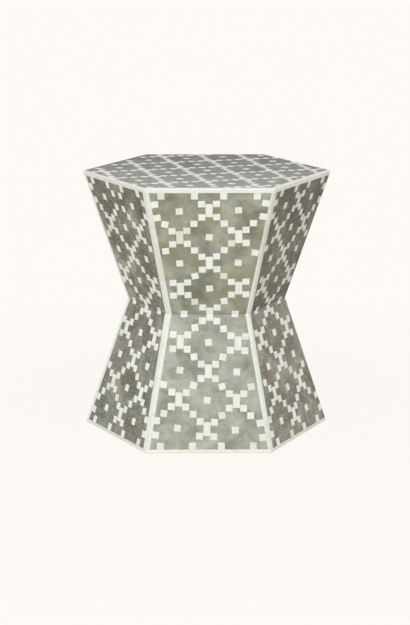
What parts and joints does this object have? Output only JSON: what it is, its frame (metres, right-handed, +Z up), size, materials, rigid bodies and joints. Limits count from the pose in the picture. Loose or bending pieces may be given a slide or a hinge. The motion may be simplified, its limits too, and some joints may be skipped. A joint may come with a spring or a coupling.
{
  "type": "bone inlay stool",
  "caption": "Hexagonal hourglass stool or side table, faced in pale bone squares and strips set flush in cloudy grey resin over a board carcass.",
  "frame": {"origin": "on the floor, under the middle of the stool", "axes": "+Z up, one flat face towards -Y, two corners on the X axis"},
  "size_m": [0.4572, 0.396, 0.4825],
  "materials": {
    "bone": "polished bone, sanded flush",
    "resin": "cloudy grey-olive resin, waxed to a soft shine",
    "board": "bare board",
    "block": "bare sawn wood",
    "steel": "zinc plated",
    "glide": "matt"
  },
  "bodies": {
    "root": {"top_board": "board", "upper_waist_board": "board", "lower_waist_board": "board", "base_board": "board", "upper_side_panel_1": "board", "upper_side_panel_2": "board", "upper_side_panel_3": "board", "upper_side_panel_4": "board", "upper_side_panel_5": "board", "upper_side_panel_6": "board", "lower_side_panel_1": "board", "lower_side_panel_2": "board", "lower_side_panel_3": "board", "lower_side_panel_4": "board", "lower_side_panel_5": "board", "lower_side_panel_6": "board", "upper_corner_blocks": "block", "lower_corner_blocks": "block", "top_nails": "steel", "waist_screws": "steel", "base_screws": "steel", "floor_glides": "glide", "upper_corner_strips": "bone", "lower_corner_strips": "bone", "rim_strips": "bone", "base_strips": "bone", "seat_border_strips": "bone", "upper_bone_squares_1": "bone", "upper_bone_squares_2": "bone", "upper_bone_squares_3": "bone", "upper_bone_squares_4": "bone", "upper_bone_squares_5": "bone", "upper_bone_squares_6": "bone", "lower_bone_squares_1": "bone", "lower_bone_squares_2": "bone", "lower_bone_squares_3": "bone", "lower_bone_squares_4": "bone", "lower_bone_squares_5": "bone", "lower_bone_squares_6": "bone", "seat_bone_squares": "bone", "upper_resin_1": "resin", "upper_resin_2": "resin", "upper_resin_3": "resin", "upper_resin_4": "resin", "upper_resin_5": "resin", "upper_resin_6": "resin", "lower_resin_1": "resin", "lower_resin_2": "resin", "lower_resin_3": "resin", "lower_resin_4": "resin", "lower_resin_5": "resin", "lower_resin_6": "resin", "seat_resin": "resin"}
  },
  "joints": []
}
